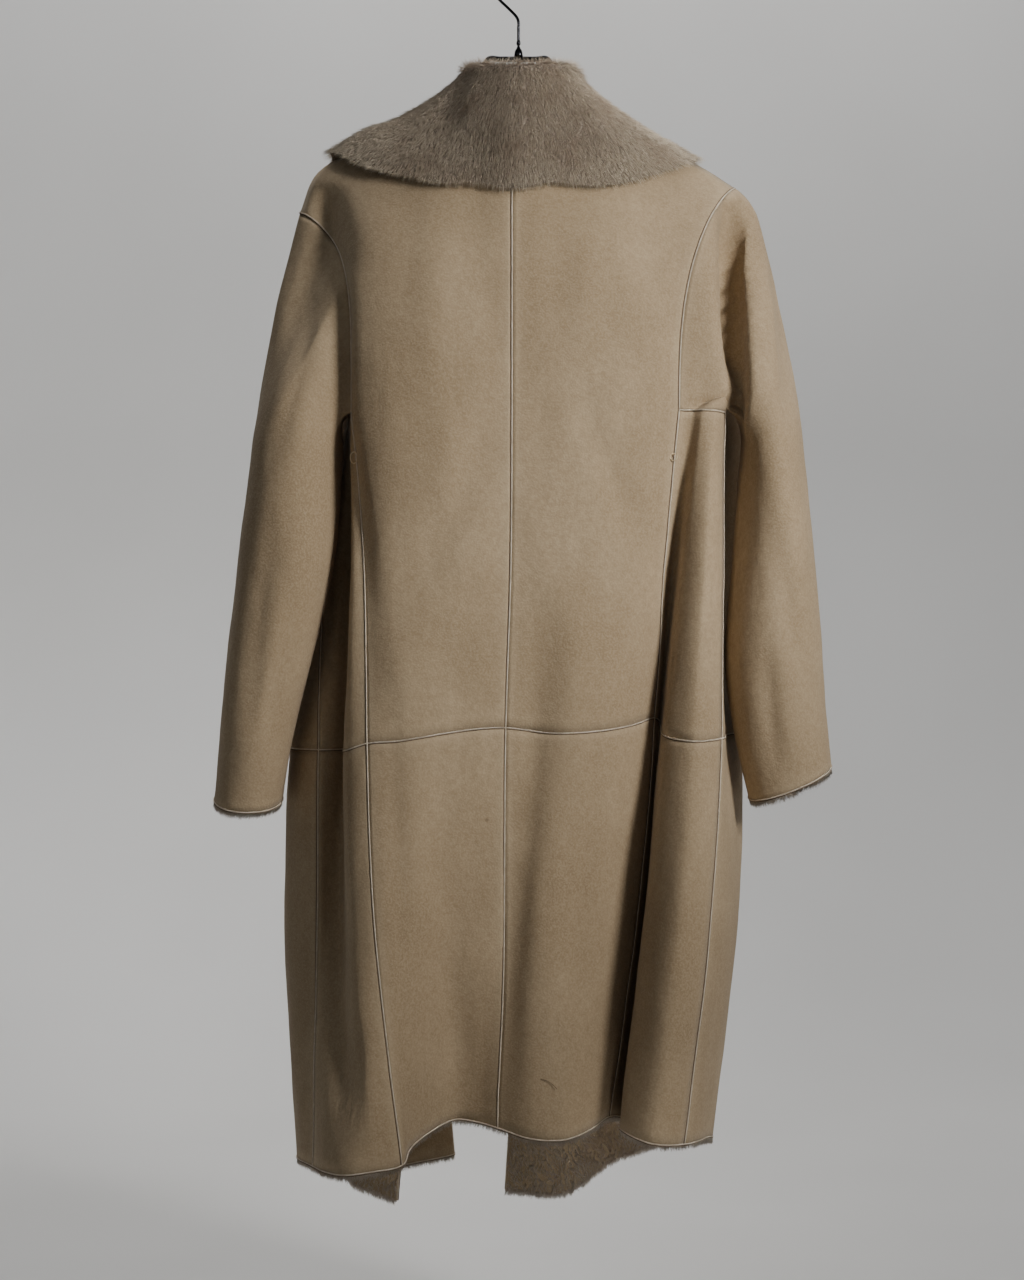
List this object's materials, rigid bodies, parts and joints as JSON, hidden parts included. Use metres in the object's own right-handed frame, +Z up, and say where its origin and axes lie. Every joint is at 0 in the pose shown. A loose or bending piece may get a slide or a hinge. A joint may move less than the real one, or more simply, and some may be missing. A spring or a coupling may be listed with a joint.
{
  "type": "shearling coat on a hanger",
  "caption": "Knee-length shearling coat hung on a wire hanger, suede outside and clipped wool inside, with a wide turned-over wool collar, set-in sleeves, a hip seam and an open front.",
  "frame": {"origin": "underside of the hanger hook's crown, where a rail carries it", "axes": "+Z up, +Y towards the coat's open front so that its back faces -Y, +X to the right as seen from behind the coat"},
  "size_m": [0.611, 0.2686, 1.256],
  "materials": {
    "suede": "napped suede, matt",
    "wool": "brushed shearling wool",
    "black_chrome": "dark polished chrome"
  },
  "bodies": {
    "root": {"front_left_upper": "suede", "front_left_skirt": "suede", "side_left_upper": "suede", "side_left_skirt": "suede", "back_left_upper": "suede", "back_left_skirt": "suede", "back_right_upper": "suede", "back_right_skirt": "suede", "side_right_upper": "suede", "side_right_skirt": "suede", "front_right_upper": "suede", "front_right_skirt": "suede", "sleeve_left": "suede", "sleeve_right": "suede", "collar_left": "wool", "collar_right": "wool", "hanger_arms": "black_chrome", "hanger_hook": "black_chrome", "hanger_swivel": "black_chrome", "hanger_rivet": "black_chrome"}
  },
  "joints": []
}
